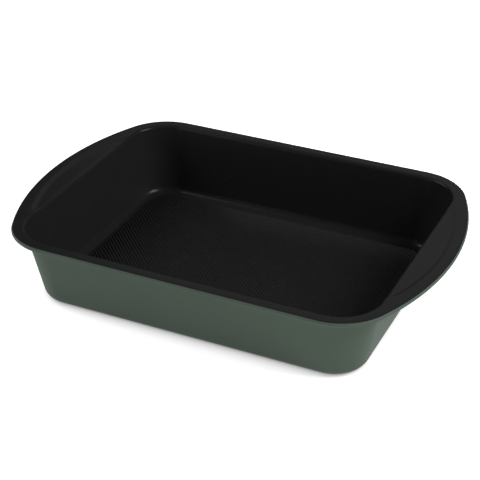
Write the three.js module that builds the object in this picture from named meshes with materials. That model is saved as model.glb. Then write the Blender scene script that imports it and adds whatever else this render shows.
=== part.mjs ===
// Roasting pan: one drawn steel sheet with a wired, rolled rim and a bowed grip at each end,
// lined with black non-stick and finished green outside. Millimetres, +Z up, +X through the grips.
// The origin is the middle of the underside, on the surface that the pan stands on.

import * as THREE from "three";

// Overall size of the finished pan
const panLength = 382;
const panWidth = 270;
const panHeight = 66.5;

// Plan of the rim: bowed ends, straight sides and rounded corners
const endBowRadius = 248;
const rimCornerRadius = 49.5;

// Flange from the rim's outer edge to the mouth, along the sides and across the middle of a grip
const sideFlange = 9.2;
const gripFlange = 29.6;

// Bowl: the mouth is where the flange bends down, and the floor is the flat part of the bottom
const mouthCornerRadius = 38.5;
const floorCornerRadius = 22;
const wallDraft = THREE.MathUtils.degToRad(10.3);
const coveRadius = 7.5;
const mouthBendRadius = 3;

// D-shaped thumb recess in each grip
const recessDepth = 1;
const recessStep = 3.5;
const recessMargin = 11;
const recessBowRadius = 200;

// Sheet and the two films on it
const sheetThickness = 0.8;
const liningThickness = 0.1;
const coatingThickness = 0.1;

// Rolled rim: the sheet curls down and back round a wire, and the films part on the curl's shoulder
const wireDiameter = 1.8;
const wireClearance = 0.2;
const curlRootGap = 0.5;
const partingAngle = THREE.MathUtils.degToRad(60);
const curlTipAngle = THREE.MathUtils.degToRad(-180);

// Facets
const endSegments = 5;
const cornerSegments = 7;
const sideSegments = 2;
const coveSegments = 4;
const bendSegments = 3;
const curlSegments = 8;
const wireSides = 8;

// Sizes that follow from the ones above
const curlRadius = wireDiameter / 2 + wireClearance + sheetThickness;
const rimRadius = curlRadius + coatingThickness;
const mouthLength = panLength - 2 * gripFlange;
const mouthWidth = panWidth - 2 * sideFlange;
const floorLevel = coatingThickness + sheetThickness;
const flangeLevel = panHeight - liningThickness;
const curlLevel = flangeLevel - curlRadius;

// How far the flat floor's edge lies inside the mouth: cove, drafted wall and mouth bend run between them
const wallRise = flangeLevel - floorLevel - coveRadius - mouthBendRadius;
const wallRun = (wallRise * Math.sin(wallDraft) + coveRadius + mouthBendRadius) / Math.cos(wallDraft);
const floorLength = mouthLength - 2 * wallRun;
const floorWidth = mouthWidth - 2 * wallRun;

// Stations along a quarter of the plan, from the middle of a grip to the middle of a side
function quarterStations() {
  const stations = [];
  for (let i = 0; i <= endSegments; i += 1) {
    stations.push({ zone: "end", share: i / endSegments });
  }
  for (let i = 1; i <= cornerSegments; i += 1) {
    stations.push({ zone: "corner", share: i / cornerSegments });
  }
  for (let i = 1; i <= sideSegments; i += 1) {
    stations.push({ zone: "side", share: i / sideSegments });
  }
  return stations;
}

// Point and outward normal on a quarter of a rounded rectangle
function roundedRectangleAt(station, length, width, cornerRadius) {
  const corner = new THREE.Vector2(length / 2 - cornerRadius, width / 2 - cornerRadius);
  if (station.zone === "end") {
    return { point: new THREE.Vector2(length / 2, corner.y * station.share), normal: new THREE.Vector2(1, 0) };
  }
  if (station.zone === "side") {
    const x = corner.x * (1 - station.share);
    return { point: new THREE.Vector2(x, width / 2), normal: new THREE.Vector2(0, 1) };
  }
  const turn = station.share * Math.PI / 2;
  const normal = new THREE.Vector2(Math.cos(turn), Math.sin(turn));
  return { point: corner.addScaledVector(normal, cornerRadius), normal };
}

// Where a ray from inside a circle leaves it
function rayToCircle(start, direction, centre, radius) {
  const offset = start.clone().sub(centre);
  const along = offset.dot(direction);
  const reach = -along + Math.sqrt(along * along - offset.lengthSq() + radius * radius);
  return start.clone().addScaledVector(direction, reach);
}

// Where a ray from the mouth meets the rim's outline, taken in by an inset, and the outline's normal there
function rayToRim(start, direction, inset) {
  const bowCentre = new THREE.Vector2(panLength / 2 - endBowRadius, 0);
  const cornerY = panWidth / 2 - rimCornerRadius;
  const cornerRun = Math.sqrt((endBowRadius - rimCornerRadius) ** 2 - cornerY ** 2);
  const cornerCentre = new THREE.Vector2(bowCentre.x + cornerRun, cornerY);
  const onBow = rayToCircle(start, direction, bowCentre, endBowRadius - inset);
  const bowNormal = onBow.clone().sub(bowCentre).normalize();
  if (bowNormal.angle() <= cornerCentre.clone().sub(bowCentre).angle()) {
    return { point: onBow, normal: bowNormal };
  }
  const sideReach = (panWidth / 2 - inset - start.y) / direction.y;
  const onSide = start.clone().addScaledVector(direction, sideReach);
  if (direction.y > 0 && onSide.x <= cornerCentre.x) {
    return { point: onSide, normal: new THREE.Vector2(0, 1) };
  }
  const onCorner = rayToCircle(start, direction, cornerCentre, rimCornerRadius - inset);
  return { point: onCorner, normal: onCorner.clone().sub(cornerCentre).normalize() };
}

// Distance from the mouth to the middle of the recess's step, or nothing where there is no recess
function recessReach(station, mouth) {
  if (station.zone !== "end") {
    return 0;
  }
  const centre = new THREE.Vector2(panLength / 2 - recessMargin - recessBowRadius, 0);
  const reach = rayToCircle(mouth.point, mouth.normal, centre, recessBowRadius).x - mouth.point.x;
  return reach > recessStep ? reach : 0;
}

// Slope of a wall that runs smoothly out of the cove and into the mouth bend
function draftBetween(run, rise) {
  const radii = coveRadius + mouthBendRadius;
  const lift = rise - radii;
  return Math.acos(radii / Math.hypot(run, lift)) - Math.atan2(lift, run);
}

// A point on the sheet's upper face, with the face's normal, in a vertical plane through a plan direction
function facePoint(plan, direction, out, level, tilt) {
  const spot = plan.clone().addScaledVector(direction, out);
  const lean = direction.clone().multiplyScalar(Math.cos(tilt));
  return {
    at: new THREE.Vector3(spot.x, spot.y, level),
    normal: new THREE.Vector3(lean.x, lean.y, Math.sin(tilt)),
  };
}

// The sheet's section at a station, from the floor's edge over the mouth and flange to the curl's tip
function sheetSection(station) {
  const upright = Math.PI / 2;
  const mouth = roundedRectangleAt(station, mouthLength, mouthWidth, mouthCornerRadius);
  const floor = roundedRectangleAt(station, floorLength, floorWidth, floorCornerRadius);
  const reach = recessReach(station, mouth);
  const shelfLevel = flangeLevel - (reach > 0 ? recessDepth : 0);
  const run = mouth.point.clone().sub(floor.point).dot(mouth.normal);
  const sweep = upright - draftBetween(run, shelfLevel - floorLevel);
  const section = [];

  for (let i = 0; i <= coveSegments; i += 1) {
    const turn = sweep * i / coveSegments;
    const level = floorLevel + coveRadius * (1 - Math.cos(turn));
    section.push(facePoint(floor.point, floor.normal, coveRadius * Math.sin(turn), level, upright + turn));
  }
  for (let i = bendSegments; i >= 0; i -= 1) {
    const turn = sweep * i / bendSegments;
    const level = shelfLevel - mouthBendRadius * (1 - Math.cos(turn));
    const out = -mouthBendRadius * Math.sin(turn);
    section.push(facePoint(mouth.point, mouth.normal, out, level, upright + turn));
  }

  const rootInset = curlRadius + curlRootGap;
  const root = rayToRim(mouth.point, mouth.normal, rimRadius + rootInset);
  const flat = root.point.distanceTo(mouth.point);
  const stepStart = reach > 0 ? reach - recessStep / 2 : flat / 3;
  const stepEnd = reach > 0 ? reach + recessStep / 2 : flat * 2 / 3;
  section.push(facePoint(mouth.point, mouth.normal, stepStart, shelfLevel, upright));
  section.push(facePoint(mouth.point, mouth.normal, stepEnd, flangeLevel, upright));
  section.push(facePoint(root.point, root.normal, 0, flangeLevel, upright));

  const curlAngles = [upright];
  for (let i = 0; i <= curlSegments; i += 1) {
    curlAngles.push(THREE.MathUtils.lerp(partingAngle, curlTipAngle, i / curlSegments));
  }
  for (const angle of curlAngles) {
    const out = rootInset + curlRadius * Math.cos(angle);
    section.push(facePoint(root.point, root.normal, out, curlLevel + curlRadius * Math.sin(angle), angle));
  }
  return { points: section, curl: facePoint(root.point, root.normal, rootInset, curlLevel, 0) };
}

function mirrorPoint(point, signX, signY) {
  const flip = new THREE.Vector3(signX, signY, 1);
  return { at: point.at.clone().multiply(flip), normal: point.normal.clone().multiply(flip) };
}

// Copies a quarter's sections round the whole plan, anticlockwise from +X
function wholePlan(quarter) {
  const forward = quarter.slice(0, -1);
  const backward = quarter.slice(1).reverse();
  const turns = [[forward, 1, 1], [backward, -1, 1], [forward, -1, -1], [backward, 1, -1]];
  return turns.flatMap(([sections, signX, signY]) => sections.map((section) => ({
    points: section.points.map((point) => mirrorPoint(point, signX, signY)),
    curl: mirrorPoint(section.curl, signX, signY),
  })));
}

const plan = wholePlan(quarterStations().map(sheetSection));
const rootIndex = coveSegments + bendSegments + 4;
const partingIndex = rootIndex + 2;
const tipIndex = partingIndex + curlSegments;

// A ring of points round the pan, at a distance above the sheet's upper face
function ring(index, distance) {
  const points = plan.map((section) => {
    const { at, normal } = section.points[index];
    return at.clone().addScaledVector(normal, distance);
  });
  return { index, distance, points };
}

function rings(from, to, distance) {
  const step = Math.sign(to - from);
  const count = Math.abs(to - from) + 1;
  return Array.from({ length: count }, (_, i) => ring(from + i * step, distance));
}

// Joins two rings with faces to the left of the way from the first to the second. Each four-cornered
// patch is split along the diagonal that its forward flag names.
function joinRings(faces, first, second, count, forward) {
  for (let i = 0; i < count; i += 1) {
    const next = (i + 1) % count;
    const [near, far] = forward ? [first + i, second + next] : [first + next, second + i];
    faces.push(first + i, second + i, forward ? far : near);
    faces.push(forward ? near : far, second + next, first + next);
  }
}

// A shell that starts at the middle of its upper floor face and ends at the middle of its lower one.
// Patches of two shells that touch are split alike, so the shells meet without crossing.
function shellGeometry(shellRings, upperMiddle, lowerMiddle) {
  const count = plan.length;
  const points = shellRings.flatMap((one) => one.points);
  const faces = [];
  for (let i = 0; i + 1 < shellRings.length; i += 1) {
    const [a, b] = [shellRings[i], shellRings[i + 1]];
    const forward = a.index === b.index ? a.distance < b.distance : a.index < b.index;
    joinRings(faces, i * count, (i + 1) * count, count, forward);
  }
  const top = points.push(new THREE.Vector3(0, 0, upperMiddle)) - 1;
  const bottom = points.push(new THREE.Vector3(0, 0, lowerMiddle)) - 1;
  const last = (shellRings.length - 1) * count;
  for (let i = 0; i < count; i += 1) {
    const next = (i + 1) % count;
    faces.push(top, i, next);
    faces.push(last + i, bottom, last + next);
  }
  return indexedGeometry(points, faces);
}

// A closed ring of wire along the middle of the curl
function wireGeometry() {
  const count = plan.length;
  const points = [];
  const faces = [];
  for (let side = 0; side < wireSides; side += 1) {
    const angle = -2 * Math.PI * side / wireSides;
    for (const { curl } of plan) {
      const point = curl.at.clone().addScaledVector(curl.normal, Math.cos(angle) * wireDiameter / 2);
      point.z += Math.sin(angle) * wireDiameter / 2;
      points.push(point);
    }
    joinRings(faces, side * count, ((side + 1) % wireSides) * count, count, true);
  }
  return indexedGeometry(points, faces);
}

function indexedGeometry(points, faces) {
  const geometry = new THREE.BufferGeometry().setFromPoints(points);
  geometry.setIndex(faces);
  geometry.computeVertexNormals();
  return geometry;
}

function piece(name, geometry, look) {
  const mesh = new THREE.Mesh(geometry, new THREE.MeshStandardMaterial(look));
  mesh.name = name;
  return mesh;
}

// The drawn sheet: upper face out to the curl's tip, then back along the lower face
const pressing = shellGeometry(
  [...rings(0, tipIndex, 0), ...rings(tipIndex, 0, -sheetThickness)],
  floorLevel,
  floorLevel - sheetThickness,
);

// The lining covers the upper face as far as the parting on the curl
const lining = shellGeometry(
  [...rings(0, partingIndex, liningThickness), ...rings(partingIndex, 0, 0)],
  floorLevel + liningThickness,
  floorLevel,
);

// The coating covers the lower face, bridges the gap at the curl's tip and runs up the curl to the parting
const coating = shellGeometry(
  [
    ...rings(0, rootIndex, -sheetThickness),
    ...rings(tipIndex, partingIndex, 0),
    ...rings(partingIndex, tipIndex, coatingThickness),
    ...rings(rootIndex, 0, -sheetThickness - coatingThickness),
  ],
  floorLevel - sheetThickness,
  0,
);

const pan = new THREE.Group();
pan.add(piece("pan_pressing", pressing, { color: 0x8d9093, roughness: 0.45, metalness: 1 }));
pan.add(piece("nonstick_lining", lining, { color: 0x1b1b1b, roughness: 0.42, metalness: 0 }));
pan.add(piece("outer_coating", coating, { color: 0x48524a, roughness: 0.5, metalness: 0 }));
pan.add(piece("rim_wire", wireGeometry(), { color: 0x9a9a98, roughness: 0.4, metalness: 1 }));

export default pan;
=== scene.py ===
from math import acos, atan2, cos, hypot, pi, radians, sin, sqrt

import bmesh
import bpy
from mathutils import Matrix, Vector


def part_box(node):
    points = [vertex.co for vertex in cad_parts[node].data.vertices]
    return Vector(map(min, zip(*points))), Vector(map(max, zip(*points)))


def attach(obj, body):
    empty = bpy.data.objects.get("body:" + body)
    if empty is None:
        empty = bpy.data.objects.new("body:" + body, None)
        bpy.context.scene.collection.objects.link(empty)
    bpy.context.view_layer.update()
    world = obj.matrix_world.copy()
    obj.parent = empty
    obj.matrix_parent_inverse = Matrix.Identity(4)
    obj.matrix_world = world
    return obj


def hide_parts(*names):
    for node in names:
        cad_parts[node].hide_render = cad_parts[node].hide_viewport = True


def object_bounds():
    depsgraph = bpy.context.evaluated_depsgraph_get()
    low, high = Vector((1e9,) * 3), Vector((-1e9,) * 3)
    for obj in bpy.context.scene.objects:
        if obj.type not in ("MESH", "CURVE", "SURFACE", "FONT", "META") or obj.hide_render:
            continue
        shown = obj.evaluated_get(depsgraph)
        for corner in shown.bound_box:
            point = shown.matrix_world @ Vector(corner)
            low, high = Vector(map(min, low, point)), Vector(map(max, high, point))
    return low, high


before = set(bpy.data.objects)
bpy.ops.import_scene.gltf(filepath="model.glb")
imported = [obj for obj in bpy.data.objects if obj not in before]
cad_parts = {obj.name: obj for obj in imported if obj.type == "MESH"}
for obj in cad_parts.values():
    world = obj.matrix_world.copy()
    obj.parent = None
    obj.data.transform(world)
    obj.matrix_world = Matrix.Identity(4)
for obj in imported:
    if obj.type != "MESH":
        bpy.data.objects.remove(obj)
cadBox = [list(corner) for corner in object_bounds()]
scene = bpy.context.scene
scene.view_settings.view_transform = "Standard"
print("frame loaded, CAD box", cadBox)


# Small helpers for node trees

def feed(tree, value, socket):
    if isinstance(value, bpy.types.NodeSocket):
        tree.links.new(value, socket)
    else:
        socket.default_value = value


def addNode(tree, kind, settings=None, **inputs):
    node = tree.nodes.new(kind)
    for name, value in (settings or {}).items():
        setattr(node, name, value)
    for name, value in inputs.items():
        feed(tree, value, node.inputs[name.replace("_", " ")])
    return node


def mathOf(tree, operation, *values):
    node = addNode(tree, "ShaderNodeMath", {"operation": operation})
    for value, socket in zip(values, node.inputs):
        feed(tree, value, socket)
    return node.outputs[0]


def newTree(name, kind, inputs, outputs):
    tree = bpy.data.node_groups.new(name, kind)
    for label, socketType in inputs:
        tree.interface.new_socket(label, in_out="INPUT", socket_type=socketType)
    for label, socketType in outputs:
        tree.interface.new_socket(label, in_out="OUTPUT", socket_type=socketType)
    given = tree.nodes.new("NodeGroupInput").outputs
    result = tree.nodes.new("NodeGroupOutput").inputs
    return tree, given, result


def geometryTree(name, *inputs):
    sockets = [("Geometry", "NodeSocketGeometry"), *inputs, ("Material", "NodeSocketMaterial")]
    return newTree(name, "GeometryNodeTree", sockets, [("Geometry", "NodeSocketGeometry")])


def finishTree(tree, geometry, material, result):
    real = addNode(tree, "GeometryNodeRealizeInstances", Geometry=geometry)
    painted = addNode(tree, "GeometryNodeSetMaterial", Geometry=real.outputs[0], Material=material)
    tree.links.new(painted.outputs[0], result["Geometry"])


# Runs a geometry tree on a mesh with its inputs set, and returns the plain mesh that comes out
def runTree(tree, mesh, values):
    carrier = bpy.data.objects.new(tree.name, mesh)
    scene.collection.objects.link(carrier)
    modifier = carrier.modifiers.new(tree.name, "NODES")
    modifier.node_group = tree
    for item in tree.interface.items_tree:
        if item.in_out == "INPUT" and item.name in values:
            modifier[item.identifier] = values[item.name]
    bpy.context.view_layer.update()
    evaluated = carrier.evaluated_get(bpy.context.evaluated_depsgraph_get())
    made = bpy.data.meshes.new_from_object(evaluated)
    while made.materials and made.materials[0] is None:
        made.materials.pop(index=0)
    carrier.modifiers.clear()
    bpy.data.objects.remove(carrier)
    return made


sharpAngle = radians(20)    # edges that turn more than this are shaded sharp


def addPiece(name, mesh, node):
    mesh.set_sharp_from_angle(angle=sharpAngle)
    piece = bpy.data.objects.new(name, mesh)
    scene.collection.objects.link(piece)
    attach(piece, "root")
    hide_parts(node)
    print("made", name, len(mesh.polygons), "faces")


# Finishes

grainNoise = {
    "peelDetail": 2.0,
    "peelRoughness": 0.45,
    "mottleDetail": 5.0,
    "mottleRoughness": 0.6,
    "middle": 0.5,
}


# Fine orange peel and slow mottling, which both coats have
def makeCoatGrain():
    tree, given, result = newTree(
        "coatGrain",
        "ShaderNodeTree",
        [
            ("Vector", "NodeSocketVector"),
            ("Color", "NodeSocketColor"),
            ("Peel Scale", "NodeSocketFloat"),
            ("Mottle Scale", "NodeSocketFloat"),
            ("Mottle", "NodeSocketFloat"),
            ("Roughness", "NodeSocketFloat"),
            ("Roughness Spread", "NodeSocketFloat"),
        ],
        [
            ("Color", "NodeSocketColor"),
            ("Roughness", "NodeSocketFloat"),
            ("Height", "NodeSocketFloat"),
        ],
    )
    peel = addNode(
        tree, "ShaderNodeTexNoise", Vector=given["Vector"], Scale=given["Peel Scale"],
        Detail=grainNoise["peelDetail"], Roughness=grainNoise["peelRoughness"],
    )
    mottle = addNode(
        tree, "ShaderNodeTexNoise", Vector=given["Vector"], Scale=given["Mottle Scale"],
        Detail=grainNoise["mottleDetail"], Roughness=grainNoise["mottleRoughness"],
    )
    patches = mathOf(tree, "SUBTRACT", mottle.outputs["Fac"], grainNoise["middle"])
    dimples = mathOf(tree, "SUBTRACT", peel.outputs["Fac"], grainNoise["middle"])
    lift = mathOf(tree, "MULTIPLY_ADD", patches, given["Mottle"], 1.0)
    tinted = addNode(tree, "ShaderNodeVectorMath", {"operation": "SCALE"}, Scale=lift)
    tree.links.new(given["Color"], tinted.inputs[0])
    grain = mathOf(tree, "ADD", patches, dimples)
    rough = mathOf(tree, "MULTIPLY_ADD", grain, given["Roughness Spread"], given["Roughness"])
    tree.links.new(tinted.outputs[0], result["Color"])
    tree.links.new(rough, result["Roughness"])
    tree.links.new(peel.outputs["Fac"], result["Height"])
    return tree


coatGrain = makeCoatGrain()


def makeCoat(name, look):
    material = bpy.data.materials.new(name)
    material.use_nodes = True
    tree = material.node_tree
    shader = tree.nodes["Principled BSDF"]
    place = addNode(tree, "ShaderNodeTexCoord").outputs["Object"]
    grain = addNode(tree, "ShaderNodeGroup", {"node_tree": coatGrain}, Vector=place)
    grain.inputs["Color"].default_value = (*look["color"], 1)
    for label in ("Peel Scale", "Mottle Scale", "Mottle", "Roughness", "Roughness Spread"):
        grain.inputs[label].default_value = look[label]
    bump = addNode(
        tree, "ShaderNodeBump", Height=grain.outputs["Height"], Strength=look["peelStrength"],
        Distance=look["peelHeight"],
    )
    tree.links.new(grain.outputs["Color"], shader.inputs["Base Color"])
    tree.links.new(grain.outputs["Roughness"], shader.inputs["Roughness"])
    tree.links.new(bump.outputs[0], shader.inputs["Normal"])
    shader.inputs["IOR"].default_value = look["ior"]
    shader.inputs["Specular IOR Level"].default_value = look["specular"]
    return material


blackLook = {
    "color": (0.0185, 0.0185, 0.0187),
    "Peel Scale": 700.0,
    "Mottle Scale": 40.0,
    "Mottle": 0.15,
    "Roughness": 0.26,
    "Roughness Spread": 0.05,
    "peelStrength": 0.08,
    "peelHeight": 0.00003,
    "ior": 1.35,
    "specular": 0.22,
}
greenLook = {
    "color": (0.094, 0.124, 0.099),
    "Peel Scale": 600.0,
    "Mottle Scale": 30.0,
    "Mottle": 0.12,
    "Roughness": 0.55,
    "Roughness Spread": 0.08,
    "peelStrength": 0.5,
    "peelHeight": 0.00003,
    "ior": 1.45,
    "specular": 0.05,
}
blackCoat = makeCoat("blackNonstick", blackLook)
greenCoat = makeCoat("greenCoat", greenLook)


drawnLines = {"detail": 3.0, "strength": 0.3, "height": 0.00002}


# Bare steel with fine drawing lines along one axis
def makeSteel(name, look):
    material = bpy.data.materials.new(name)
    material.use_nodes = True
    tree = material.node_tree
    shader = tree.nodes["Principled BSDF"]
    place = addNode(tree, "ShaderNodeTexCoord").outputs["Object"]
    stretched = addNode(tree, "ShaderNodeMapping", Vector=place, Scale=look["lineScale"])
    noise = addNode(
        tree, "ShaderNodeTexNoise",
        Vector=stretched.outputs[0], Scale=1.0, Detail=drawnLines["detail"],
    )
    lines = noise.outputs["Fac"]
    rough = mathOf(tree, "MULTIPLY_ADD", lines, look["roughnessSpread"], look["roughness"])
    shade = addNode(tree, "ShaderNodeMix", {"data_type": "RGBA"}, Factor=lines)
    firstColor, secondColor, mixedColor = shade.inputs[6], shade.inputs[7], shade.outputs[2]
    firstColor.default_value = (*look["dark"], 1)
    secondColor.default_value = (*look["light"], 1)
    bump = addNode(
        tree, "ShaderNodeBump",
        Height=lines, Strength=drawnLines["strength"], Distance=drawnLines["height"],
    )
    tree.links.new(mixedColor, shader.inputs["Base Color"])
    tree.links.new(rough, shader.inputs["Roughness"])
    tree.links.new(bump.outputs[0], shader.inputs["Normal"])
    shader.inputs["Metallic"].default_value = 1.0
    return material


sheetLook = {
    "lineScale": (30.0, 1500.0, 300.0),
    "roughness": 0.34,
    "roughnessSpread": 0.2,
    "dark": (0.46, 0.47, 0.49),
    "light": (0.62, 0.63, 0.65),
}
wireLook = {
    "lineScale": (400.0, 400.0, 2500.0),
    "roughness": 0.3,
    "roughnessSpread": 0.2,
    "dark": (0.5, 0.5, 0.49),
    "light": (0.68, 0.68, 0.67),
}
sheetSteel = makeSteel("sheetSteel", sheetLook)
wireSteel = makeSteel("wireSteel", wireLook)
print("finishes ready")


# Drawn sheet, in metres and radians. The overall size and the films' thickness come from the frame.
pan = {
    "endBowRadius": 0.248,
    "rimCornerRadius": 0.0495,
    "sideFlange": 0.0092,
    "gripFlange": 0.0296,
    "mouthCornerRadius": 0.0385,
    "floorCornerRadius": 0.022,
    "wallDraft": radians(10.3),
    "coveRadius": 0.0075,
    "mouthBendRadius": 0.003,
    "recessDepth": 0.001,
    "recessStep": 0.0055,
    "recessMargin": 0.011,
    "recessBowRadius": 0.200,
    "recessFade": 0.006,
    "stepFirstShare": 0.1,    # the step stays between these shares of the flange's flat
    "stepLastShare": 0.95,
    "wireClearance": 0.0002,
    "curlRootGap": 0.0005,
    "partingAngle": radians(60),
    "curlTipAngle": radians(-180),
    "flatShare": 0.98,    # size of the ring that keeps a bare floor's shading flat
}
fineness = {
    "end": 36,
    "corner": 26,
    "side": 14,
    "cove": 10,
    "wall": 4,
    "bend": 8,
    "shelf": 4,
    "step": 10,
    "band": 3,
    "shoulder": 4,
    "curl": 24,
}

panLength, panWidth, panHeight = (high - low for low, high in zip(*cadBox))
pressingLow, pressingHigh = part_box("pan_pressing")
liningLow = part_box("nonstick_lining")[0]
wireLow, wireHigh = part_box("rim_wire")
coatingThickness = pressingLow.z
sheetThickness = liningLow.z - pressingLow.z
liningThickness = panHeight - pressingHigh.z
wireDiameter = wireHigh.z - wireLow.z

curlRadius = wireDiameter / 2 + pan["wireClearance"] + sheetThickness
rimRadius = curlRadius + coatingThickness
rootInset = curlRadius + pan["curlRootGap"]
mouthLength = panLength - 2 * pan["gripFlange"]
mouthWidth = panWidth - 2 * pan["sideFlange"]
floorLevel = coatingThickness + sheetThickness
flangeLevel = panHeight - liningThickness
curlLevel = flangeLevel - curlRadius
turnRadii = pan["coveRadius"] + pan["mouthBendRadius"]
wallRise = flangeLevel - floorLevel - turnRadii
wallRun = (wallRise * sin(pan["wallDraft"]) + turnRadii) / cos(pan["wallDraft"])
floorLength = mouthLength - 2 * wallRun
floorWidth = mouthWidth - 2 * wallRun


# Stations round a quarter of the plan, closer together where the thumb recess runs out
def quarterStations():
    ends = [("end", sin(pi / 2 * i / fineness["end"])) for i in range(fineness["end"] + 1)]
    corners = [("corner", i / fineness["corner"]) for i in range(1, fineness["corner"] + 1)]
    sides = [("side", i / fineness["side"]) for i in range(1, fineness["side"] + 1)]
    return ends + corners + sides


def roundedRectangleAt(zone, share, length, width, radius):
    corner = Vector((length / 2 - radius, width / 2 - radius))
    if zone == "end":
        return Vector((length / 2, corner.y * share)), Vector((1, 0))
    if zone == "side":
        return Vector((corner.x * (1 - share), width / 2)), Vector((0, 1))
    outward = Vector((cos(share * pi / 2), sin(share * pi / 2)))
    return corner + outward * radius, outward


def rayToCircle(start, direction, centre, radius):
    offset = start - centre
    along = offset.dot(direction)
    reach = sqrt(along * along - offset.length_squared + radius * radius)
    return start + direction * (reach - along)


# Where a ray from the mouth meets the rim's outline, taken in by an inset, and the way out there
def rayToRim(start, direction, inset):
    bowCentre = Vector((panLength / 2 - pan["endBowRadius"], 0))
    cornerY = panWidth / 2 - pan["rimCornerRadius"]
    cornerRun = sqrt((pan["endBowRadius"] - pan["rimCornerRadius"]) ** 2 - cornerY ** 2)
    cornerCentre = bowCentre + Vector((cornerRun, cornerY))
    fromBow = rayToCircle(start, direction, bowCentre, pan["endBowRadius"] - inset) - bowCentre
    if atan2(fromBow.y, fromBow.x) <= atan2(cornerY, cornerRun):
        return bowCentre + fromBow, fromBow.normalized()
    if direction.y > 0:
        onSide = start + direction * ((panWidth / 2 - inset - start.y) / direction.y)
        if onSide.x <= cornerCentre.x:
            return onSide, Vector((0, 1))
    onCorner = rayToCircle(start, direction, cornerCentre, pan["rimCornerRadius"] - inset)
    return onCorner, (onCorner - cornerCentre).normalized()


def smooth(share):
    share = min(max(share, 0), 1)
    return share * share * (3 - 2 * share)


# Distance from the mouth to the middle of the recess's step, none outside the grips
def recessReach(zone, mouth, outward):
    centre = Vector((panLength / 2 - pan["recessMargin"] - pan["recessBowRadius"], 0))
    if zone != "end":
        return 0
    return max((rayToCircle(mouth, outward, centre, pan["recessBowRadius"]) - mouth).x, 0)


def facePoint(plan, direction, out, level, tilt):
    spot = plan + direction * out
    lean = direction * cos(tilt)
    return Vector((*spot, level)), Vector((*lean, sin(tilt)))


# The sheet's upper face at a station, from the floor's edge over the flange to the curl's tip
def sheetSection(zone, share):
    mouth, outward = roundedRectangleAt(
        zone, share, mouthLength, mouthWidth, pan["mouthCornerRadius"]
    )
    floor, floorOutward = roundedRectangleAt(
        zone, share, floorLength, floorWidth, pan["floorCornerRadius"]
    )
    root, rimOutward = rayToRim(mouth, outward, rimRadius + rootInset)
    flat = (root - mouth).length
    reach = recessReach(zone, mouth, outward)
    depth = pan["recessDepth"] * smooth(reach / pan["recessFade"])
    shelfLevel = flangeLevel - depth
    run = (mouth - floor).dot(outward)
    lift = shelfLevel - floorLevel - turnRadii
    sweep = pi / 2 - acos(turnRadii / hypot(run, lift)) + atan2(lift, run)
    section = []

    for i in range(fineness["cove"] + 1):
        turn = sweep * i / fineness["cove"]
        out = pan["coveRadius"] * sin(turn)
        level = floorLevel + pan["coveRadius"] * (1 - cos(turn))
        section.append(facePoint(floor, floorOutward, out, level, pi / 2 + turn))
    bend = []
    for i in range(fineness["bend"], -1, -1):
        turn = sweep * i / fineness["bend"]
        out = -pan["mouthBendRadius"] * sin(turn)
        level = shelfLevel - pan["mouthBendRadius"] * (1 - cos(turn))
        bend.append(facePoint(mouth, outward, out, level, pi / 2 + turn))
    foot = section[-1]
    for i in range(1, fineness["wall"]):
        section.append((foot[0].lerp(bend[0][0], i / fineness["wall"]), foot[1]))
    section += bend

    stepStart = max(reach - pan["recessStep"] / 2, flat * pan["stepFirstShare"])
    stepEnd = min(stepStart + pan["recessStep"], flat * pan["stepLastShare"])
    spots = [(stepStart * i / fineness["shelf"], 0) for i in range(1, fineness["shelf"])]
    for i in range(fineness["step"] + 1):
        share = i / fineness["step"]
        spots.append((stepStart + (stepEnd - stepStart) * share, depth * smooth(share)))
    for i in range(1, fineness["band"] + 1):
        spots.append((stepEnd + (flat - stepEnd) * i / fineness["band"], depth))
    for out, rise in spots:
        section.append(facePoint(mouth, outward, out, shelfLevel + rise, pi / 2))

    top, parting, tip = pi / 2, pan["partingAngle"], pan["curlTipAngle"]
    shoulder, curl = fineness["shoulder"], fineness["curl"]
    angles = [top + (parting - top) * i / shoulder for i in range(shoulder)]
    angles += [parting + (tip - parting) * i / curl for i in range(curl + 1)]
    for angle in angles:
        out = rootInset + curlRadius * cos(angle)
        level = curlLevel + curlRadius * sin(angle)
        section.append(facePoint(root, rimOutward, out, level, angle))
    return section, facePoint(root, rimOutward, rootInset, curlLevel, 0)


def mirrored(section, signX, signY):
    flip = Vector((signX, signY, 1))
    return [(at * flip, normal * flip) for at, normal in section]


# Sections anticlockwise round the whole pan, each ending with a point on the rolled rim's middle line
def wholePlan():
    quarter = []
    for zone, share in quarterStations():
        section, curl = sheetSection(zone, share)
        quarter.append(section + [curl])
    there, back = quarter[:-1], quarter[:0:-1]
    turns = [(there, 1, 1), (back, -1, 1), (there, -1, -1), (back, 1, -1)]
    return [mirrored(section, signX, signY) for side, signX, signY in turns for section in side]


plan = wholePlan()
rootRow = sum(fineness[zone] for zone in ("cove", "wall", "bend", "shelf", "step", "band"))
partingRow = rootRow + 1 + fineness["shoulder"]
tipRow = partingRow + fineness["curl"]
print("plan has", len(plan), "sections of", tipRow + 1, "points")


# Points round the pan at a height above the sheet's upper face, and the side that a film grows to
def sheetRow(index, height, side):
    faces = [section[index] for section in plan]
    return [(at + normal * height, normal * side) for at, normal in faces]


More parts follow.
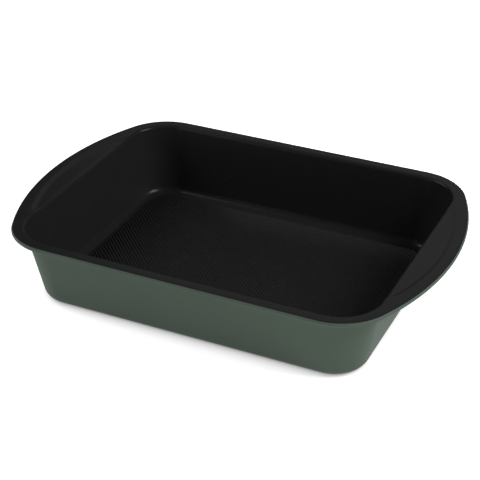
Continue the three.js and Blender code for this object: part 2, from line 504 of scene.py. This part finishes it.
# A film starts as a sheet of rows. Its point attribute filmSide says which way it gets its thickness.
def filmSheet(name, rows, facesDown, floorMesh=None):
    count = len(plan)
    build = bmesh.new()
    filmSide = build.verts.layers.float_vector.new("filmSide")
    if floorMesh:
        build.from_mesh(floorMesh)
        for vert in build.verts:
            vert[filmSide] = Vector((0, 0, 1))
        floorEdges = [edge for edge in build.edges if edge.is_boundary]
    else:
        # a ring just inside the cove keeps the bare floor's shading flat
        inside = Vector((pan["flatShare"], pan["flatShare"], 1))
        rows = [[(at * inside, side) for at, side in rows[0]]] + rows
    verts = []
    for row in rows:
        for at, side in row:
            vert = build.verts.new(at)
            vert[filmSide] = side
            verts.append(vert)
    for j in range(len(rows) - 1):
        for i in range(count):
            near, far = j * count, (j + 1) * count
            k = (i + 1) % count
            corners = [verts[near + i], verts[far + i], verts[far + k], verts[near + k]]
            build.faces.new(reversed(corners) if facesDown else corners).smooth = True
    innerEdges = [build.edges.get((verts[i], verts[(i + 1) % count])) for i in range(count)]
    if floorMesh:
        made = bmesh.ops.triangle_fill(
            build, use_beauty=True, edges=floorEdges + innerEdges, normal=Vector((0, 0, 1))
        )
        border = [item for item in made["geom"] if isinstance(item, bmesh.types.BMFace)]
        for face in border:
            face.smooth = True
            face.normal_update()
            if face.normal.z < 0:
                face.normal_flip()
    else:
        middle = build.verts.new((0, 0, rows[0][0][0].z))
        middle[filmSide] = rows[0][0][1]
        for i in range(count):
            corners = [middle, verts[i], verts[(i + 1) % count]]
            build.faces.new(reversed(corners) if facesDown else corners).smooth = True
    mesh = bpy.data.meshes.new(name)
    build.to_mesh(mesh)
    build.free()
    return mesh


seamGap = 0.000002    # points of a film that are closer than this are one point


# Gives a film its thickness: the sheet, a copy moved along filmSide, and the rim between them
def makeFilmTree():
    tree, given, result = geometryTree("filmShell", ("Thickness", "NodeSocketFloat"))
    side = addNode(
        tree, "GeometryNodeInputNamedAttribute", {"data_type": "FLOAT_VECTOR"}, Name="filmSide"
    )
    growth = addNode(tree, "ShaderNodeVectorMath", {"operation": "SCALE"}, Scale=given["Thickness"])
    tree.links.new(side.outputs[0], growth.inputs[0])
    outer = addNode(
        tree, "GeometryNodeSetPosition", Geometry=given["Geometry"], Offset=growth.outputs[0]
    )
    neighbours = addNode(tree, "GeometryNodeInputMeshEdgeNeighbors")
    openEdge = addNode(
        tree, "FunctionNodeCompare", {"data_type": "INT", "operation": "EQUAL"}
    )
    faceCount, wantedCount = openEdge.inputs[2], openEdge.inputs[3]
    tree.links.new(neighbours.outputs[0], faceCount)
    wantedCount.default_value = 1
    rim = addNode(
        tree, "GeometryNodeExtrudeMesh", {"mode": "EDGES"},
        Mesh=given["Geometry"], Selection=openEdge.outputs[0], Offset_Scale=0.0,
    )
    raised = addNode(
        tree, "GeometryNodeSetPosition",
        Geometry=rim.outputs["Mesh"], Selection=rim.outputs["Top"], Offset=growth.outputs[0],
    )
    inner = addNode(tree, "GeometryNodeFlipFaces", Mesh=raised.outputs[0])
    both = addNode(tree, "GeometryNodeJoinGeometry")
    tree.links.new(outer.outputs[0], both.inputs[0])
    tree.links.new(inner.outputs[0], both.inputs[0])
    closed = addNode(
        tree, "GeometryNodeMergeByDistance", Geometry=both.outputs[0], Distance=seamGap
    )
    finishTree(tree, closed.outputs[0], given["Material"], result)
    return tree


filmTree = makeFilmTree()


# Floor pattern: fine ridges that run slantwise across the floor, fading out at a smooth border
emboss = {
    "pitch": 0.00283,
    "height": 0.00082,
    "border": 0.0021,    # stays over 0.6 of the pitch, or the cut grid meets the cove
    "fade": 0.001,
    "trimShare": 0.25,
    "turn": radians(45),
}


# Distance outside a rounded rectangle round the origin, less than nothing inside it
def roundedEdge(tree, length, width, radius):
    spot = addNode(tree, "ShaderNodeSeparateXYZ")
    tree.links.new(addNode(tree, "GeometryNodeInputPosition").outputs[0], spot.inputs[0])
    over = []
    for axis, size in (("X", length), ("Y", width)):
        straight = mathOf(tree, "SUBTRACT", mathOf(tree, "MULTIPLY", size, 0.5), radius)
        away = mathOf(tree, "ABSOLUTE", spot.outputs[axis])
        over.append(mathOf(tree, "SUBTRACT", away, straight))
    outX, outY = (mathOf(tree, "MAXIMUM", value, 0.0) for value in over)
    squares = mathOf(tree, "MULTIPLY_ADD", outX, outX, mathOf(tree, "MULTIPLY", outY, outY))
    corner = mathOf(tree, "SQRT", squares)
    inside = mathOf(tree, "MINIMUM", mathOf(tree, "MAXIMUM", *over), 0.0)
    return mathOf(tree, "SUBTRACT", mathOf(tree, "ADD", corner, inside), radius)


def makeEmbossTree():
    tree, given, result = geometryTree(
        "embossedFloor",
        ("Length", "NodeSocketFloat"),
        ("Width", "NodeSocketFloat"),
        ("Corner Radius", "NodeSocketFloat"),
        ("Pitch", "NodeSocketFloat"),
        ("Cells", "NodeSocketInt"),
        ("Height", "NodeSocketFloat"),
        ("Fade", "NodeSocketFloat"),
        ("Turn", "NodeSocketFloat"),
        ("Level", "NodeSocketFloat"),
    )
    size = mathOf(tree, "MULTIPLY", given["Cells"], given["Pitch"])
    points = mathOf(tree, "MULTIPLY_ADD", given["Cells"], 2.0, 1.0)
    grid = addNode(
        tree, "GeometryNodeMeshGrid", Size_X=size, Size_Y=size, Vertices_X=points, Vertices_Y=points
    )
    half = mathOf(tree, "MULTIPLY", given["Pitch"], 0.5)
    spot = addNode(tree, "ShaderNodeSeparateXYZ")
    tree.links.new(addNode(tree, "GeometryNodeInputPosition").outputs[0], spot.inputs[0])
    share = mathOf(tree, "DIVIDE", mathOf(tree, "PINGPONG", spot.outputs["X"], half), half)
    rise = addNode(
        tree, "ShaderNodeCombineXYZ", Z=mathOf(tree, "MULTIPLY", share, given["Height"])
    )
    ridged = addNode(
        tree, "GeometryNodeSetPosition", Geometry=grid.outputs[0], Offset=rise.outputs[0]
    )
    turn = addNode(tree, "ShaderNodeCombineXYZ", Z=given["Turn"])
    turned = addNode(
        tree, "GeometryNodeTransform", Geometry=ridged.outputs[0], Rotation=turn.outputs[0]
    )

    edge = roundedEdge(tree, given["Length"], given["Width"], given["Corner Radius"])
    depth = mathOf(tree, "DIVIDE", mathOf(tree, "MULTIPLY", edge, -1.0), given["Fade"])
    shareIn = mathOf(tree, "MINIMUM", mathOf(tree, "MAXIMUM", depth, 0.0), 1.0)
    here = addNode(tree, "GeometryNodeInputPosition")
    scaled = addNode(tree, "ShaderNodeCombineXYZ", X=1.0, Y=1.0, Z=shareIn)
    faded = addNode(tree, "ShaderNodeVectorMath", {"operation": "MULTIPLY"})
    tree.links.new(here.outputs[0], faded.inputs[0])
    tree.links.new(scaled.outputs[0], faded.inputs[1])
    bordered = addNode(
        tree, "GeometryNodeSetPosition", Geometry=turned.outputs[0], Position=faded.outputs[0]
    )
    trimLine = mathOf(tree, "MULTIPLY", given["Pitch"], emboss["trimShare"])
    trimmed = addNode(
        tree, "GeometryNodeDeleteGeometry", {"domain": "FACE"},
        Geometry=bordered.outputs[0], Selection=mathOf(tree, "GREATER_THAN", edge, trimLine),
    )
    split = addNode(
        tree, "GeometryNodeTriangulate", {"quad_method": "LONGEST_DIAGONAL"}, Mesh=trimmed.outputs[0]
    )
    lift = addNode(tree, "ShaderNodeCombineXYZ", Z=given["Level"])
    lifted = addNode(
        tree, "GeometryNodeSetPosition", Geometry=split.outputs[0], Offset=lift.outputs[0]
    )
    finishTree(tree, lifted.outputs[0], given["Material"], result)
    return tree


def makeFloorPattern():
    length = floorLength - 2 * emboss["border"]
    width = floorWidth - 2 * emboss["border"]
    pitch = emboss["pitch"]
    # an even number of cells, enough to cover the floor when the grid is turned
    cells = 2 * int((length + width) / sqrt(2) / pitch / 2 + 1)
    values = {
        "Length": length,
        "Width": width,
        "Corner Radius": pan["floorCornerRadius"] - emboss["border"],
        "Pitch": pitch,
        "Cells": cells,
        "Height": emboss["height"],
        "Fade": emboss["fade"],
        "Turn": emboss["turn"],
        "Level": floorLevel,
        "Material": blackCoat,
    }
    return runTree(makeEmbossTree(), bpy.data.meshes.new("floorPattern"), values)


floorPattern = makeFloorPattern()
print("floor pattern has", len(floorPattern.polygons), "faces")


def makeFilm(name, rows, facesDown, thickness, material, node, floorMesh=None):
    sheet = filmSheet(name + "Sheet", rows, facesDown, floorMesh)
    mesh = runTree(filmTree, sheet, {"Thickness": thickness, "Material": material})
    addPiece(name, mesh, node)


liningRows = [sheetRow(i, 0, 1) for i in range(partingRow + 1)]
steelRows = [sheetRow(i, -sheetThickness, 1) for i in range(tipRow + 1)]
coatRows = [sheetRow(i, -sheetThickness, -1) for i in range(rootRow + 1)]
coatRows += [sheetRow(i, 0, 1) for i in range(tipRow, partingRow - 1, -1)]

makeFilm("steelSheet", steelRows, False, sheetThickness, sheetSteel, "pan_pressing")
makeFilm(
    "liningFilm", liningRows, False, liningThickness, blackCoat, "nonstick_lining",
    floorPattern,
)
makeFilm("outerCoat", coatRows, True, coatingThickness, greenCoat, "outer_coating")


# Wire in the rolled rim: a round section swept along the rim's middle line
def makeWireTree():
    tree, given, result = geometryTree(
        "rimWire", ("Diameter", "NodeSocketFloat"), ("Sides", "NodeSocketInt")
    )
    path = addNode(tree, "GeometryNodeMeshToCurve", Mesh=given["Geometry"])
    section = addNode(
        tree, "GeometryNodeCurvePrimitiveCircle",
        Resolution=given["Sides"], Radius=mathOf(tree, "MULTIPLY", given["Diameter"], 0.5),
    )
    swept = addNode(
        tree, "GeometryNodeCurveToMesh", Curve=path.outputs[0], Profile_Curve=section.outputs[0]
    )
    rounded = addNode(tree, "GeometryNodeSetShadeSmooth", Geometry=swept.outputs[0])
    finishTree(tree, rounded.outputs[0], given["Material"], result)
    return tree


wire = {"sides": 12}


def makeWire():
    path = bpy.data.meshes.new("wirePath")
    points = [section[-1][0] for section in plan]
    edges = [(i, (i + 1) % len(points)) for i in range(len(points))]
    path.from_pydata(points, edges, [])
    values = {"Diameter": wireDiameter, "Sides": wire["sides"], "Material": wireSteel}
    addPiece("rimWire", runTree(makeWireTree(), path, values), "rim_wire")


makeWire()


# Pale floor that is white to the camera where nothing shades it, and can be seen through from below
studio = {
    "floorSize": 12.0,
    "floorDrop": 0.0002,
    "floorColor": (0.86, 0.86, 0.86),
    "floorRoughness": 0.9,
    "floorGlow": 0.88,
    "contactReach": 0.0145,
    "contactShade": 0.85,
    "worldColor": (0.02, 0.02, 0.02),
}


def makeFloor():
    half = studio["floorSize"] / 2
    drop = -studio["floorDrop"]
    mesh = bpy.data.meshes.new("studioFloor")
    corners = [(-half, -half, drop), (half, -half, drop), (half, half, drop), (-half, half, drop)]
    mesh.from_pydata(corners, [], [(0, 1, 2, 3)])
    material = bpy.data.materials.new("paleFloor")
    material.use_nodes = True
    tree = material.node_tree
    shader = tree.nodes["Principled BSDF"]
    shader.inputs["Roughness"].default_value = studio["floorRoughness"]
    shader.inputs["Specular IOR Level"].default_value = 0.0
    rays = addNode(tree, "ShaderNodeLightPath")
    seen = mathOf(tree, "MAXIMUM", rays.outputs["Is Camera Ray"], rays.outputs["Is Glossy Ray"])
    seen = mathOf(tree, "MAXIMUM", seen, rays.outputs["Is Transmission Ray"])
    # soft shade close to the pan, where the walls hide the room
    contact = addNode(tree, "ShaderNodeAmbientOcclusion", Distance=studio["contactReach"])
    hidden = mathOf(tree, "SUBTRACT", 1.0, contact.outputs["AO"])
    squared = mathOf(tree, "MULTIPLY", hidden, hidden)
    shade = mathOf(tree, "MULTIPLY", squared, studio["contactShade"])
    lit = mathOf(tree, "MAXIMUM", mathOf(tree, "SUBTRACT", 1.0, shade), 0.0)
    tint = addNode(tree, "ShaderNodeVectorMath", {"operation": "SCALE"}, Scale=lit)
    tint.inputs[0].default_value = studio["floorColor"]
    tree.links.new(tint.outputs[0], shader.inputs["Base Color"])
    glow = mathOf(tree, "MULTIPLY", mathOf(tree, "MULTIPLY", seen, studio["floorGlow"]), lit)
    shader.inputs["Emission Color"].default_value = (1, 1, 1, 1)
    tree.links.new(glow, shader.inputs["Emission Strength"])
    # seen from below the floor is clear, and it lets the lamp below through
    clear = addNode(tree, "ShaderNodeBsdfTransparent")
    back = addNode(tree, "ShaderNodeNewGeometry")
    mix = addNode(tree, "ShaderNodeMixShader")
    through = mathOf(tree, "MAXIMUM", back.outputs["Backfacing"], rays.outputs["Is Shadow Ray"])
    tree.links.new(through, mix.inputs[0])
    tree.links.new(shader.outputs[0], mix.inputs[1])
    tree.links.new(clear.outputs[0], mix.inputs[2])
    tree.links.new(mix.outputs[0], tree.nodes["Material Output"].inputs["Surface"])
    mesh.materials.append(material)
    floor = bpy.data.objects.new("studioFloor", mesh)
    scene.collection.objects.link(floor)


makeFloor()

world = bpy.data.worlds.new("studioWorld")
world.use_nodes = True
background = world.node_tree.nodes["Background"]
background.inputs["Color"].default_value = (*studio["worldColor"], 1)
background.inputs["Strength"].default_value = 1.0
scene.world = world


# Soft lamps that all face one point inside the pan: place, size across and power
lampAim = Vector((0, 0, 0.03))
lamps = {
    "keyRight": {"place": (0.78, 0.14, 0.65), "size": (0.45, 0.45), "power": 7.8},
    "fillLeft": {"place": (-0.73, -0.15, 0.7), "size": (0.5, 0.5), "power": 3.15},
    "lowFrontLeft": {"place": (-0.73, -1.27, 0.34), "size": (0.4, 0.35), "power": 1.35},
    "softBack": {"place": (-0.43, 1.17, 0.87), "size": (0.8, 0.6), "power": 0.42},
    "lowFront": {"place": (0.36, -1.46, 0.03), "size": (0.8, 0.05), "power": 6.1},
    "lowBack": {"place": (-0.13, 1.49, 0.03), "size": (0.8, 0.05), "power": 4.5},
    "lowLeft": {"place": (-1.49, -0.18, 0.03), "size": (0.8, 0.05), "power": 5.2},
    "below": {"place": (0.0, 0.0, -1.17), "size": (0.8, 0.8), "power": 3.0},
}


def makeLamps():
    for name, lamp in lamps.items():
        data = bpy.data.lights.new(name, "AREA")
        data.shape = "RECTANGLE"
        data.size, data.size_y = lamp["size"]
        data.energy = lamp["power"]
        item = bpy.data.objects.new(name, data)
        item.location = lamp["place"]
        way = lampAim - Vector(lamp["place"])
        item.rotation_euler = way.to_track_quat("-Z", "Y").to_euler()
        item.visible_camera = False
        scene.collection.objects.link(item)


makeLamps()
print("studio lit by", len(lamps), "lamps")


# Camera at the photograph's viewing angle, for a square picture
view = {
    "eye": (0.41558, -0.89284, 0.61014),
    "aim": (-0.00916, 0.01326, 0.02565),
    "lens": 97.51,
    "sensor": 36.0,
}
cameraData = bpy.data.cameras.new("photoCamera")
cameraData.sensor_fit = "HORIZONTAL"
cameraData.sensor_width = view["sensor"]
cameraData.lens = view["lens"]
camera = bpy.data.objects.new("photoCamera", cameraData)
camera.location = view["eye"]
look = Vector(view["aim"]) - Vector(view["eye"])
camera.rotation_euler = look.to_track_quat("-Z", "Y").to_euler()
scene.collection.objects.link(camera)
scene.camera = camera
print("camera set")
